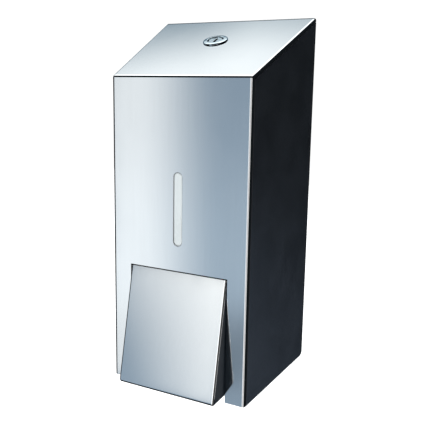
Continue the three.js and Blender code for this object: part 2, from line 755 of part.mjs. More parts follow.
// The bracket that the locked cam stands behind: a foot on the plate, an arm under the cam and a lip.
function lockCatch() {
  const x = [-CATCH.outer, -CATCH.inner];
  const t = PLATE.thickness;
  const under = LOCK.camTop - LOCK.camThickness - CATCH.underCam;
  const lipStart = -CATCH.lipAlong - t;
  const lip = onSlope(block(x, [lipStart, -CATCH.lipAlong], [under - t, LOCK.camTop + 3]));
  const arm = onSlope(block(x, [lipStart, CASE.backWidth / 2], [under - t, under]));
  const foot = block(x, [-2 * t - GAP, -t - GAP], [CATCH.bottom, CATCH.top]);
  const half = CASE.backWidth / 2;
  const room = block([-half, half], [2 * FRONT, -t - GAP], [0, 2 * CASE.backHeight]);
  const body = cut(join(lip, arm, foot).intersect(room), ...rivetPlaces().map(rivetHole));
  return named('lock_catch', body, plateSteel);
}

// ---------------------------------------------------------------- tank and lid

// The tank's plan, moved in by inset, with rounded corners.
function tankPlan(inset) {
  const { front, back, frontHalf, backHalf, corner } = TANK;
  const widen = (backHalf - frontHalf) / (back - front);
  const side = inset * Math.hypot(1, widen);
  const half = (y) => frontHalf + widen * (y - front) - side;
  const y0 = front + inset;
  const y1 = back - inset;
  const corners = [
    new THREE.Vector2(-half(y0), y0),
    new THREE.Vector2(half(y0), y0),
    new THREE.Vector2(half(y1), y1),
    new THREE.Vector2(-half(y1), y1),
  ];
  const radius = Math.max(corner - inset, 1);
  const shape = new THREE.Shape();
  corners.forEach((point, i) => {
    const before = corners[(i + 3) % 4].clone().sub(point).setLength(radius).add(point);
    const after = corners[(i + 1) % 4].clone().sub(point).setLength(radius).add(point);
    if (i === 0) {
      shape.moveTo(before.x, before.y);
    } else {
      shape.lineTo(before.x, before.y);
    }
    shape.quadraticCurveTo(point.x, point.y, after.x, after.y);
  });
  shape.closePath();
  return shape;
}

function tank() {
  const { bottom, top, wall } = TANK;
  const neck = rod('z', NECK.radius, [bottom - NECK.length, bottom + wall]).translate([0, PUMP.y, 0]);
  const bore = rod('z', NECK.bore, [bottom - NECK.length - 1, bottom + wall + 1]).translate([0, PUMP.y, 0]);
  const outside = join(fromAbove(tankPlan(0), [bottom, top]), neck);
  return named('tank', cut(outside, fromAbove(tankPlan(wall), [bottom + wall, top + 1]), bore), naturalTank);
}

function tankLid() {
  const { thickness, skirtDepth, skirtWall, skirtGap } = LID;
  const under = TANK.top + GAP;
  const plate = fromAbove(tankPlan(0), [under, under + thickness]);
  const skirtInset = TANK.wall + skirtGap;
  const skirt = cut(
    fromAbove(tankPlan(skirtInset), [under - skirtDepth, under + thickness / 2]),
    fromAbove(tankPlan(skirtInset + skirtWall), [under - skirtDepth - 1, under]),
  );
  const grip = block([-15, 15], [-48, -46], [under + thickness / 2, under + thickness + 5]);
  const vent = rod('z', 1.5, [under - BEYOND, under + BEYOND], 16).translate([0, -24, 0]);
  return named('tank_lid', cut(join(plate, skirt, grip), vent), whitePlastic);
}

// ---------------------------------------------------------------- pump, drawn about its axes' crossing

// The cylinder lies along Y; soap comes down the Z axis from the tank and leaves below by the nozzle.
function pumpBody() {
  const cylinder = rod('y', PUMP.radius, [PUMP.front, PUMP.rear], 28);
  const stem = rod('z', 7.5, [0, 27]);
  const flange = rod('z', 10.8, [24.8, 27], 28);
  const nozzle = rod('z', 6, [-24, 0]);
  const tip = rod('z', 4.6, [-33, -23]);
  const bore = rod('y', PUMP.bore, [PUMP.front - 1, PUMP.rear - 2.3], 28);
  const inlet = rod('z', 3.5, [0, 28]);
  const valveRoom = rod('z', 5.6, [0, 16]);
  const outlet = rod('z', 3, [-30, 0]);
  const outletRoom = rod('z', 3.7, [-34, -24]);
  const body = cut(join(cylinder, stem, flange, nozzle, tip), bore, inlet, valveRoom, outlet, outletRoom);
  return named('pump_body', body, whitePlastic);
}

// An umbrella valve under the inlet's seat.
function inletValve() {
  const profile = [
    [0, 13.6],
    [4.9, 14.6],
    [4.9, 15.6],
    [1.1, 15.6],
    [1.1, 19],
    [1.9, 19.6],
    [0, 22],
  ];
  return named('inlet_valve', turned('z', profile), clearSilicone);
}

// A duckbill valve in the nozzle's tip.
function outletValve() {
  const profile = [
    [2.3, -24.3],
    [3.4, -24.3],
    [3.4, -28],
    [1.4, -32.5],
    [0.4, -32.5],
    [2.3, -27],
    [2.3, -24.3],
  ];
  return named('outlet_valve', turned('z', profile), clearSilicone);
}

function nozzleCap() {
  const profile = [
    [2.5, -34.2],
    [5.6, -34.2],
    [6.2, -33.4],
    [6.2, -24.4],
    [4.9, -24.4],
    [4.9, -33.3],
    [2.5, -33.3],
    [2.5, -34.2],
  ];
  return named('nozzle_cap', turned('z', profile), greyPlastic);
}

function neckSeal() {
  return named('neck_seal', ring('z', 5.2, 8.6, [27.3, 29.7]), blackRubber);
}

// The nut that holds the pump's flange against the tank's neck, with grip ribs round it.
function couplingNut() {
  const ribs = 12;
  const outline = new THREE.Shape();
  for (let i = 0; i < 4 * ribs; i++) {
    const angle = (i * Math.PI) / 2 / ribs;
    const radius = i % 4 < 2 ? 14.2 : 13.4;
    const point = [radius * Math.cos(angle), radius * Math.sin(angle)];
    if (i === 0) {
      outline.moveTo(...point);
    } else {
      outline.lineTo(...point);
    }
  }
  outline.closePath();
  const aroundStem = rod('z', 7.8, [20, 26]);
  const aroundFlange = rod('z', 11.1, [24.5, 30.3]);
  const aroundNeck = rod('z', NECK.radius + GAP, [30, 40]);
  const body = cut(fromAbove(outline, [21.3, 38]), aroundStem, aroundFlange, aroundNeck);
  return named('coupling_nut', body, greyPlastic);
}

function pumpGland() {
  const front = PUMP.front - GAP;
  const profile = [
    [ROD.radius + GAP, front - 4],
    [11.8, front - 4],
    [13, front - 2.8],
    [13, -15],
    [PUMP.radius + GAP, -15],
    [PUMP.radius + GAP, front],
    [ROD.radius + GAP, front],
    [ROD.radius + GAP, front - 4],
  ];
  return named('pump_gland', turned('y', profile, 28), greyPlastic);
}

function plunger() {
  const { radius, headFace, headRadius, domeRadius, domeHeight } = ROD;
  const steps = 6;
  const dome = Array.from({ length: steps + 1 }, (_, i) => {
    const height = domeHeight * (1 - i / steps);
    return [Math.sqrt(domeRadius ** 2 - (domeRadius - domeHeight + height) ** 2), headFace - height];
  });
  const profile = [
    ...dome,
    [headRadius, headFace],
    [headRadius, headFace + 1.5],
    [radius, headFace + 1.5],
    [radius, -21.7],
    [7.7, -21.7],
    [7.7, -20.2],
    [6.2, -20.2],
    [6.2, -17.2],
    [7.7, -17.2],
    [7.7, -15.7],
    [0, -15.7],
  ];
  profile[0][0] = 0;
  return named('plunger', turned('y', profile, 24), whitePlastic);
}

function pistonSeal() {
  return named('piston_seal', ring('y', 6.5, 7.85, [-19.9, -17.5], 24), blackRubber);
}

// The space that the return spring's coil fills, from the gland to the plunger's head.
function pumpSpring() {
  const length = [ROD.headFace + 1.8, PUMP.front - 4 - 2 * GAP];
  return named('pump_spring', ring('y', 4.6, 6.4, length), springSteel);
}

function pump() {
  const group = new THREE.Group();
  group.position.set(0, PUMP.y, PUMP.z);
  group.add(pumpBody(), inletValve(), outletValve(), nozzleCap(), neckSeal(), couplingNut(), pumpGland());
  group.add(plunger(), pistonSeal(), pumpSpring());
  return group;
}

// ---------------------------------------------------------------- the whole dispenser

function wallUnit() {
  const group = new THREE.Group();
  group.add(backPlate(), pumpBackstop(), lockCatch(), tankArm(LEFT), tankArm(RIGHT), tank(), tankLid());
  group.add(...rivetPlaces().map(rivet));
  return group;
}

const dispenser = new THREE.Group();
dispenser.name = 'soap_dispenser';
dispenser.position.z = -ORIGIN_HEIGHT;
dispenser.add(wallUnit(), pump(), cover(), lock(), lever());

export default dispenser;
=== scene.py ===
"""Looks of the wall mounted soap dispenser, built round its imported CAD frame.

Shapes are drawn in millimetres in the row frame (x to the right, y into the wall, z up, origin on the
wall face) and scaled to metres as each piece is made. Places come from the frame: its boxes and joints.
"""

import json
import math

import bmesh
import bpy
from mathutils import Matrix, Vector


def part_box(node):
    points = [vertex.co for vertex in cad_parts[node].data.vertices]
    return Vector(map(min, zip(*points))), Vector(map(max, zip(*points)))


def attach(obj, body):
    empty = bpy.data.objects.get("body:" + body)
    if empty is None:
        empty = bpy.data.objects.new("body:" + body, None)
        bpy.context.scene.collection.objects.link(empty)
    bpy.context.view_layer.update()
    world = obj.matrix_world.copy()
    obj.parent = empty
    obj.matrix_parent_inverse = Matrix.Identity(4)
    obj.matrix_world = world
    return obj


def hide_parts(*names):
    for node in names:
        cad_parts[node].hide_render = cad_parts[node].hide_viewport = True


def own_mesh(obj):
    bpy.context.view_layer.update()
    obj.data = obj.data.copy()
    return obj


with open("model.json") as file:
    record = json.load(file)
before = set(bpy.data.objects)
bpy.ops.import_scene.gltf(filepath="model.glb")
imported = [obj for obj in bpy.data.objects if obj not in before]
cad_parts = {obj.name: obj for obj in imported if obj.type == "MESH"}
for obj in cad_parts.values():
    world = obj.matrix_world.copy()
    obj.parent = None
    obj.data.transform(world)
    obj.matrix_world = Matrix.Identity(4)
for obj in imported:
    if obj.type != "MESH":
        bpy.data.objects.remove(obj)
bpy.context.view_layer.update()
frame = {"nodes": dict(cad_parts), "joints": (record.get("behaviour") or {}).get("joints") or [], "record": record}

MM = 0.001

# ---------------------------------------------------------------- places taken from the frame, in millimetres


def box_mm(node):
    """A node's lowest and highest corners."""
    low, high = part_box(node)
    return low / MM, high / MM


def joint(name):
    return next(j for j in frame["joints"] if j["name"] == name)


SKIN_LOW, SKIN_HIGH = box_mm("front_skin")
FRONT_Y = SKIN_LOW.y  # the steel front's outer face
REAR_Y = SKIN_HIGH.y  # the cover's edge, just clear of the wall
FOOT_Z = SKIN_LOW.z  # the cover's lower edge
LOCK_CENTRE = Vector(joint("lock_turn")["pos_m"]) / MM
SLOPE_NORMAL = Vector(joint("lock_turn")["axis"]).normalized()
UP_SLOPE = Vector((0, SLOPE_NORMAL.z, -SLOPE_NORMAL.y))

FRONT_HALF = 50.75  # half the width of the steel front
FLARE = (SKIN_HIGH.x - FRONT_HALF) / (REAR_Y - FRONT_Y)  # how much wider each side grows per unit of depth
SHEET = 1.0  # thickness of the steel
GAP = 0.3  # between neighbouring pieces
CASE_BEND = 2.0  # outer radius of the cover's folds
CASE_WRAP = 2.6  # how deep the steel folds round on to the sides
PAST = 10.0  # how far raw shapes run past the faces where they are trimmed
FOLD_STEPS = 8  # flats that make up a quarter of a fold


def slope_height(y):
    """Height of the slope's outer face at depth y."""
    return LOCK_CENTRE.z - SLOPE_NORMAL.y / SLOPE_NORMAL.z * (y - LOCK_CENTRE.y)


def case_half(y):
    """Half the cover's width at depth y."""
    return FRONT_HALF + FLARE * (y - FRONT_Y)


# ---------------------------------------------------------------- meshes


def new_object(name, bm):
    """An object from a bmesh drawn in millimetres."""
    bmesh.ops.recalc_face_normals(bm, faces=bm.faces)
    bmesh.ops.scale(bm, vec=(MM, MM, MM), verts=bm.verts)
    mesh = bpy.data.meshes.new(name)
    bm.to_mesh(mesh)
    bm.free()
    obj = bpy.data.objects.new(name, mesh)
    bpy.context.scene.collection.objects.link(obj)
    return obj


def apply_modifiers(obj):
    """Bakes an object's modifiers into its mesh."""
    depsgraph = bpy.context.evaluated_depsgraph_get()
    mesh = bpy.data.meshes.new_from_object(obj.evaluated_get(depsgraph), depsgraph=depsgraph)
    obj.modifiers.clear()
    obj.data = mesh
    return obj


def combine(obj, operation, *tools):
    """Cuts or joins obj with each tool, and removes the tools."""
    for tool in tools:
        modifier = obj.modifiers.new("cut", "BOOLEAN")
        modifier.operation = operation
        modifier.solver = "EXACT"
        modifier.object = tool
        apply_modifiers(obj)
        bpy.data.objects.remove(tool)
    return obj


def soften(obj, width, segments=2, angle=35.0):
    """Rounds the sharp edges a little and shades the flats flat and the rounds round."""
    bevel = obj.modifiers.new("edges", "BEVEL")
    bevel.width = width * MM
    bevel.segments = segments
    bevel.limit_method = "ANGLE"
    bevel.angle_limit = math.radians(angle)
    bevel.use_clamp_overlap = True
    for face in obj.data.polygons:
        face.use_smooth = True
    normals = obj.modifiers.new("normals", "WEIGHTED_NORMAL")
    normals.mode = "FACE_AREA"
    normals.weight = 100
    return obj


def block(low, high):
    """A box between two corners."""
    bm = bmesh.new()
    bmesh.ops.create_cube(bm, size=1)
    for v in bm.verts:
        v.co = Vector([low[i] if v.co[i] < 0 else high[i] for i in range(3)])
    return new_object("block", bm)


def pill(width, height, y, centre_z, segments=16):
    """The outline of an upright bar with round ends, in the plane at depth y."""
    radius = width / 2
    straight = height / 2 - radius
    outline = []
    for end in (1, -1):
        for i in range(segments + 1):
            angle = math.pi * i / segments
            x = end * radius * math.cos(angle)
            z = end * (straight + radius * math.sin(angle))
            outline.append(Vector((x, y, centre_z + z)))
    return outline


def loft(bm, loops):
    """Joins loops of equal length, one after the other, into a skin with closed ends."""
    rings = [[bm.verts.new(p) for p in loop] for loop in loops]
    for a, b in zip(rings, rings[1:]):
        for i in range(len(a)):
            j = (i + 1) % len(a)
            bm.faces.new((a[i], a[j], b[j], b[i]))
    bm.faces.new(rings[0])
    bm.faces.new(list(reversed(rings[-1])))


def turned(profile, segments=64):
    """A bmesh turned about z from (radius, height) points.

    A profile that starts and ends off the axis closes on itself.
    """
    bm = bmesh.new()
    angles = [2 * math.pi * i / segments for i in range(segments)]
    columns = []
    for radius, height in profile:
        if radius == 0:
            columns.append([bm.verts.new((0, 0, height))])
        else:
            ring = [(radius * math.cos(a), radius * math.sin(a), height) for a in angles]
            columns.append([bm.verts.new(point) for point in ring])
    pairs = list(zip(columns, columns[1:]))
    if profile[0][0] > 0:
        pairs.append((columns[-1], columns[0]))
    for a, b in pairs:
        for i in range(segments):
            j = (i + 1) % segments
            corners = [a[i % len(a)], a[j % len(a)], b[j % len(b)], b[i % len(b)]]
            unique = list(dict.fromkeys(corners))
            if len(unique) > 2:
                bm.faces.new(unique)
    return bm


# ---------------------------------------------------------------- folded sheet


def meeting(first, second, inset):
    """Where two profile lines, each a (point, normal) in (y, z), meet after moving in by the inset."""
    (p, n), (q, m) = first, second
    a = n.dot(p) - inset
    b = m.dot(q) - inset
    det = n.x * m.y - n.y * m.x
    return Vector(((a * m.y - b * n.y) / det, (n.x * b - m.x * a) / det))


def slerp(a, b, t):
    """The direction at share t of the turn from a to b."""
    angle = a.angle(b)
    return (a * math.sin((1 - t) * angle) + b * math.sin(t * angle)) / math.sin(angle)


def folded_sheet(name, points, wrap, half_width, flare, bend, corner):
    """A sheet bent along a profile in (y, z), with its two sides folded back by the wrap.

    bend is the outer radius of the side folds and corner that of the profile's own bends. The outer and
    the inner skin have the same rows and columns; the four rims join them.
    """
    lines = []
    for a, b in zip(points, points[1:]):
        along = (Vector(b) - Vector(a)).normalized()
        lines.append((Vector(a), Vector((-along.y, along.x))))
    sides = [Vector((side, -flare, 0)).normalized() for side in (-1, 1)]

    def end_row(point, normal):
        return point - bend * normal, normal, point - wrap * normal

    # Each row is (centre of the side fold, normal, end of the folded side), all in (y, z).
    rows = [end_row(*lines[0])]
    for line, following in zip(lines, lines[1:]):
        centre = meeting(line, following, corner)
        fold_end = meeting(line, following, wrap)
        for k in range(FOLD_STEPS + 1):
            normal = slerp(line[1], following[1], k / FOLD_STEPS)
            rows.append((centre + (corner - bend) * normal, normal, fold_end))
    rows.append(end_row(Vector(points[-1]), lines[-1][1]))

    bm = bmesh.new()

    def skin(inset):
        """One face of the sheet, as rows of vertices."""
        radius = bend - inset
        spread = math.hypot(1, flare)
        made = []
        for hub, normal, fold_end in rows:
            up = Vector((0, normal.x, normal.y))
            columns = []
            for side, face in zip((-1, 1), sides):
                centre = Vector((side * (half_width(hub.x) - bend * spread), hub.x, hub.y))
                arc = [centre + radius * slerp(up, face, k / FOLD_STEPS) for k in range(FOLD_STEPS + 1)]
                tip = Vector((side * (half_width(fold_end.x) - inset * spread), fold_end.x, fold_end.y))
                columns += [tip] + arc[::-1] if side < 0 else arc + [tip]
            made.append([bm.verts.new(p) for p in columns])
        return made

    outer, inner = skin(0), skin(SHEET)
    for grid, flip in ((outer, False), (inner, True)):
        for a, b in zip(grid, grid[1:]):
            for j in range(len(a) - 1):
                quad = (a[j], a[j + 1], b[j + 1], b[j])
                bm.faces.new(quad[::-1] if flip else quad)
    for a, b in ((outer[0], inner[0]), (inner[-1], outer[-1])):
        for j in range(len(a) - 1):
            bm.faces.new((b[j], b[j + 1], a[j + 1], a[j]))
    for j, (first, second) in ((0, (outer, inner)), (-1, (inner, outer))):
        for i in range(len(rows) - 1):
            bm.faces.new((first[i][j], first[i + 1][j], second[i + 1][j], second[i][j]))
    bmesh.ops.remove_doubles(bm, verts=bm.verts, dist=1e-4)
    return new_object(name, bm)


# ---------------------------------------------------------------- node helpers


class Nodes:
    """A short way to write node trees: each call adds one node and returns its output."""

    def __init__(self, tree):
        self.tree = tree
        tree.nodes.clear()

    def add(self, kind, inputs=None, output=0, **settings):
        node = self.tree.nodes.new(kind)
        for key, value in settings.items():
            setattr(node, key, value)
        for key, value in (inputs or {}).items():
            self.put(node, key, value)
        return node.outputs[output]

    def put(self, node, key, value):
        if isinstance(value, bpy.types.NodeSocket):
            self.tree.links.new(value, node.inputs[key])
        else:
            node.inputs[key].default_value = value

    def math(self, operation, a, b, clamp=False):
        return self.add("ShaderNodeMath", {0: a, 1: b}, operation=operation, use_clamp=clamp)

    def times(self, a, b):
        return self.math("MULTIPLY", a, b)

    def blend(self, a, b, share):
        """The given share of a and the rest of b."""
        return self.math("ADD", self.times(a, share), self.times(b, 1 - share))

    def dot(self, vector, axis):
        return self.add("ShaderNodeVectorMath", {0: vector, 1: axis}, output="Value", operation="DOT_PRODUCT")

    def smooth(self, value, start, end, low=0.0, high=1.0):
        """Eases from low at start to high at end."""
        inputs = {"Value": value, "From Min": start, "From Max": end, "To Min": low, "To Max": high}
        return self.add("ShaderNodeMapRange", inputs, interpolation_type="SMOOTHSTEP")

    def noise(self, vector, scale, detail=2.0, roughness=0.5, stretch=(1, 1, 1)):
        mapped = self.add("ShaderNodeMapping", {"Vector": vector, "Scale": stretch})
        inputs = {"Vector": mapped, "Scale": scale, "Detail": detail, "Roughness": roughness}
        return self.add("ShaderNodeTexNoise", inputs)

    def between(self, value, start, full, last, end):
        """Rises from start to full, and falls again from last to end."""
        return self.times(self.smooth(value, start, full), self.smooth(value, last, end, 1.0, 0.0))

    def mix(self, factor, a, b):
        """A colour between a and b."""
        inputs = {"Factor": factor, "A": a, "B": b}
        node = self.tree.nodes.new("ShaderNodeMix")
        node.data_type = "RGBA"
        for socket in node.inputs:
            if socket.enabled and socket.name in inputs:
                value = inputs[socket.name]
                if isinstance(value, bpy.types.NodeSocket):
                    self.tree.links.new(value, socket)
                else:
                    socket.default_value = value
        return next(o for o in node.outputs if o.enabled)


def colour(red, green, blue):
    return (red, green, blue, 1.0)


def scaled(rgba, factor):
    """A colour made lighter or darker."""
    return colour(*(min(1.0, c * factor) for c in rgba[:3]))


# ---------------------------------------------------------------- materials
# Noise scales are per metre and bump depths in metres.


def surface(name, paint, **constants):
    """A principled material.

    paint(nodes, place) returns the sockets that nodes drive; constants are plain socket values, with
    underscores for spaces in their names.
    """
    material = bpy.data.materials.new(name)
    material.use_nodes = True
    nodes = Nodes(material.node_tree)
    shader = nodes.tree.nodes.new("ShaderNodeBsdfPrincipled")
    output = nodes.tree.nodes.new("ShaderNodeOutputMaterial")
    nodes.tree.links.new(shader.outputs[0], output.inputs["Surface"])
    place = nodes.add("ShaderNodeTexCoord", output="Object")
    for key, value in constants.items():
        shader.inputs[key.replace("_", " ")].default_value = value
    for key, value in paint(nodes, place).items():
        nodes.put(shader, key, value)
    return material


def bump(nodes, height, strength, distance):
    """A normal that follows the height."""
    return nodes.add("ShaderNodeBump", {"Height": height, "Strength": strength, "Distance": distance})


def polished_steel(name="polished_steel", rear_edge=None):
    """Polished stainless sheet: faint upright polishing lines, a trace of wiping marks and handling haze.

    Past the depth rear_edge, where the sheet ends at the wall, its colour is painted dark: painted shade standing
    in for the dark reflection along the rear edge.
    """
    fade = 0.4  # millimetres over which the painted dark edge fades in

    def paint(nodes, place):
        lines = nodes.noise(place, 900, detail=3, roughness=0.7, stretch=(1, 1, 0.03))
        haze = nodes.noise(place, 26, detail=4, roughness=0.6)
        wipes = nodes.noise(place, 60, detail=3, roughness=0.55, stretch=(1, 1, 0.25))
        rough = nodes.smooth(nodes.blend(haze, wipes, 0.6), 0.35, 0.75, 0.075, 0.115)
        line_tone = nodes.smooth(lines, 0.3, 0.7)
        tone = nodes.mix(line_tone, colour(0.805, 0.81, 0.812), colour(0.82, 0.825, 0.828))
        # Painted shade: the strip along the rear edge is painted dark, in place of the dark reflection where the
        # sheet meets the wall.
        if rear_edge is not None:
            depth = nodes.dot(place, (0, 1, 0))
            painted_dark_edge = nodes.smooth(depth, (rear_edge - fade) * MM, rear_edge * MM)
            tone = nodes.mix(painted_dark_edge, tone, colour(0.13, 0.14, 0.15))
        return {"Base Color": tone, "Roughness": rough, "Normal": bump(nodes, lines, 0.006, 0.0002)}

    return surface(name, paint, Metallic=1.0)


def moulded(name, tone, roughness, grain=900, depth=0.00008, fleck=0.12, **constants):
    """Moulded plastic: a fine eroded grain, cloudy gloss and slight colour drift."""
    gloss_drift = 0.06

    def paint(nodes, place):
        fine = nodes.noise(place, grain, detail=2, roughness=0.6)
        drift = nodes.noise(place, 35, detail=3)
        base = nodes.mix(nodes.smooth(drift, 0.35, 0.65), scaled(tone, 1 - fleck), scaled(tone, 1 + fleck))
        clouds = nodes.blend(fine, drift, 0.5)
        rough = nodes.smooth(clouds, 0.3, 0.7, roughness - gloss_drift, roughness + gloss_drift)
        return {"Base Color": base, "Roughness": rough, "Normal": bump(nodes, fine, 0.5, depth)}

    return surface(name, paint, **constants)


def plated_steel():
    """Zinc-plated pressed sheet: soft mottling in colour and gloss, and rolling lines."""

    def paint(nodes, place):
        mottle = nodes.noise(place, 120, detail=4, roughness=0.65)
        rolled = nodes.noise(place, 700, detail=2, stretch=(0.05, 1, 1))
        tone = nodes.mix(nodes.smooth(mottle, 0.3, 0.7), colour(0.57, 0.59, 0.61), colour(0.64, 0.65, 0.66))
        rough = nodes.smooth(mottle, 0.3, 0.7, 0.36, 0.42)
        return {"Base Color": tone, "Roughness": rough, "Normal": bump(nodes, rolled, 0.12, 0.0001)}

    return surface("plate_steel", paint, Metallic=1.0)


def chromed_zinc():
    """Bright chrome over die-cast zinc: very slight orange peel and hairline scratches."""

    def paint(nodes, place):
        peel = nodes.noise(place, 500, detail=1)
        scratches = nodes.noise(place, 1500, detail=4, roughness=0.8, stretch=(1, 0.08, 0.08))
        rough = nodes.smooth(scratches, 0.5, 0.75, 0.05, 0.16)
        tone = nodes.mix(nodes.smooth(peel, 0.3, 0.7), colour(0.48, 0.56, 0.60), colour(0.54, 0.62, 0.66))
        return {"Base Color": tone, "Roughness": rough, "Normal": bump(nodes, peel, 0.05, 0.0002)}

    return surface("chromed_zinc", paint, Metallic=1.0)


def spring_steel():
    """Drawn wire and turned pins: fine marks in colour and gloss."""

    def paint(nodes, place):
        marks = nodes.noise(place, 1100, detail=3, roughness=0.7)
        tone = nodes.mix(nodes.smooth(marks, 0.3, 0.7), colour(0.50, 0.52, 0.54), colour(0.64, 0.66, 0.68))
        rough = nodes.smooth(marks, 0.3, 0.7, 0.2, 0.34)
        return {"Base Color": tone, "Roughness": rough, "Normal": bump(nodes, marks, 0.1, 0.00005)}

    return surface("spring_steel", paint, Metallic=1.0)


def make_materials():
    """One material for each slot of the record, and the cover's steel with painted shade along its rear edge."""
    painted_edge_width = 1.8
    lens = colour(0.68, 0.73, 0.74)
    tank = colour(0.80, 0.83, 0.81)
    return {
        "polished_steel": polished_steel(),
        # The cover's steel, with a painted dark strip at its rear edge: painted shade for the dark reflection
        # there.
        "steel_painted_dark_edge": polished_steel("steel_painted_dark_edge", rear_edge=REAR_Y - painted_edge_width),
        "black_panel": moulded("black_panel", colour(0.0095, 0.0112, 0.0135), 0.38, grain=1100),
        "dark_plastic": moulded("dark_plastic", colour(0.013, 0.021, 0.031), 0.5, grain=1300,
                                Specular_IOR_Level=0.2),
        "plate_steel": plated_steel(),
        "chromed_zinc": chromed_zinc(),
        "spring_steel": spring_steel(),
        "window_lens": moulded("window_lens", lens, 0.28, grain=500, depth=0.00003, fleck=0.02),
        "tank_plastic": moulded("tank_plastic", tank, 0.36, grain=260, depth=0.0001, fleck=0.03,
                                Subsurface_Weight=0.4, Subsurface_Scale=0.004),
        "white_plastic": moulded("white_plastic", colour(0.78, 0.78, 0.75), 0.42, fleck=0.03),
        "grey_plastic": moulded("grey_plastic", colour(0.26, 0.28, 0.30), 0.45),
        "rubber": moulded("rubber", colour(0.018, 0.018, 0.018), 0.75, grain=700, depth=0.00015),
        "silicone": moulded("silicone", colour(0.72, 0.76, 0.75), 0.4, fleck=0.02,
                            Subsurface_Weight=0.5, Subsurface_Scale=0.002),
    }


def dress(obj, materials, slot, finish=None):
    """Gives a piece the material of its slot, or a special finish of the same slot."""
    obj.data.materials.clear()
    obj.data.materials.append(materials[finish or slot])
    return obj


# ---------------------------------------------------------------- cover


LENS_GAP = 0.3  # between the window's bar and the slot, all round
SLOT_WIDTH, SLOT_HEIGHT = 6.5, 50.0
OPENING_HALF = 36.6  # half the width of the lever's opening
OPENING_OVER_LEVER = 0.6
LOCK_HOLE_RADIUS = 7.7
HEM_HALF, HEM_DEPTH, HEM_DROP = 44.0, 7.5, 0.9  # the slope's rear edge turned down at the wall


def window_slot():
    """The cutter of the slot that the level window shows in."""
    low, high = box_mm("level_window")
    middle = (low.z + high.z) / 2
    bm = bmesh.new()
    loft(bm, [pill(SLOT_WIDTH, SLOT_HEIGHT, FRONT_Y + side * PAST, middle) for side in (-1, 1)])
    return new_object("slot", bm)


def cover_skin(materials):
    """The folded steel front and sloped top, with the slot, the lever's opening and the lock's hole."""
    points = [(FRONT_Y, FOOT_Z), (FRONT_Y, slope_height(FRONT_Y)), (PAST, slope_height(PAST))]
    skin = folded_sheet("steel_front", points, CASE_WRAP, case_half, FLARE, CASE_BEND, CASE_BEND)

    hem_low = (-HEM_HALF, REAR_Y - SHEET, SKIN_HIGH.z - HEM_DEPTH)
    hem_high = (HEM_HALF, PAST, slope_height(REAR_Y) - HEM_DROP)
    combine(skin, "UNION", block(hem_low, hem_high))

    opening_low = (-OPENING_HALF, FRONT_Y - PAST, FOOT_Z - PAST)
    opening_high = (OPENING_HALF, FRONT_Y + PAST, box_mm("lever_plate")[1].z + OPENING_OVER_LEVER)
    drill = [(0, -PAST), (LOCK_HOLE_RADIUS, -PAST), (LOCK_HOLE_RADIUS, PAST), (0, PAST)]
    hole = on_lock_axis(new_object("hole", turned(drill)))
    wall_half = SKIN_HIGH.x + 2 * PAST
    wall_low = (-wall_half, REAR_Y, FOOT_Z - PAST)
    wall_high = (wall_half, 4 * PAST, SKIN_HIGH.z + 4 * PAST)
    opening, wall = block(opening_low, opening_high), block(wall_low, wall_high)
    combine(skin, "DIFFERENCE", window_slot(), opening, hole, wall)
    soften(skin, 0.18)
    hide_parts("front_skin")
    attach(skin, "cover")
    # The steel's dark strip at the rear edge is painted shade in its colour.
    return dress(skin, materials, "polished_steel", "steel_painted_dark_edge")


def level_window(materials):
    """The milky lens: a flange behind the steel and a crowned bar that stands in the slot."""
    low, high = box_mm("level_window")
    middle = (low.z + high.z) / 2
    width, height = 2 * high.x, high.z - low.z
    bar_width, bar_height = SLOT_WIDTH - 2 * LENS_GAP, SLOT_HEIGHT - 2 * LENS_GAP
    flange_front = FRONT_Y + SHEET + GAP
    chamfer = 0.15
    crown = [(0.0, flange_front), (0.0, low.y + 0.35), (0.18, low.y + 0.14), (0.5, low.y)]  # (inset, depth)

    def flange(inset, y):
        return pill(width - 2 * inset, height - 2 * inset, y, middle)

    loops = [flange(0, high.y), flange(0, flange_front + chamfer), flange(chamfer, flange_front)]
    for inset, y in crown:
        loops.append(pill(bar_width - 2 * inset, bar_height - 2 * inset, y, middle))
    bm = bmesh.new()
    loft(bm, loops)
    lens = soften(new_object("level_lens", bm), 0.05)
    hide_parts("level_window")
    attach(lens, "cover")
    return dress(lens, materials, "window_lens")


# ---------------------------------------------------------------- lock


def on_lock_axis(obj):
    """Moves a piece drawn about z onto the lock's axis, with its y up the slope."""
    turn = Matrix((Vector((1, 0, 0)), UP_SLOPE, SLOPE_NORMAL)).transposed().to_4x4()
    obj.data.transform(Matrix.Translation(LOCK_CENTRE * MM) @ turn)
    return obj


PLUG_RADIUS, PLUG_TOP = 5.3, 0.6  # all of the lock's heights start at the slope's outer face
PLUG_LOW, TAIL_LOW, TAIL_HALF = -19.7, -21.4, 2.4
BARREL_RADIUS, BARREL_LOW = 7.4, -18.0
COLLAR_RADIUS, COLLAR_LOW = 9.0, 0.15
KEYWAY_HALF, KEYWAY_REACH, KEYWAY_DEPTH = 0.9, 3.6, 8.0
THREAD_RADIUS, THREAD_TOP = 1.5, -11.5


def lock_head(materials):
    """The lock's chromed body with its rounded collar round the plug."""
    bore = PLUG_RADIUS + GAP
    inner = [(0.9, 1.45), (0.45, 1.4), (0.0, 1.0)]  # past the bore, height
    outer = [(0.0, 0.5), (0.1, 0.78), (0.35, 1.02), (0.75, 1.2), (1.3, 1.32)]  # in from the rim, height
    profile = [(bore, BARREL_LOW), (BARREL_RADIUS, BARREL_LOW), (BARREL_RADIUS, COLLAR_LOW)]
    profile.append((COLLAR_RADIUS, COLLAR_LOW))
    profile += [(COLLAR_RADIUS - inset, height) for inset, height in outer]
    profile += [(bore + past, height) for past, height in inner]
    housing = on_lock_axis(new_object("lock_collar", turned(profile, 72)))
    soften(housing, 0.06, angle=25)
    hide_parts("lock_housing")
    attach(housing, "cover")
    return dress(housing, materials, "chromed_zinc")


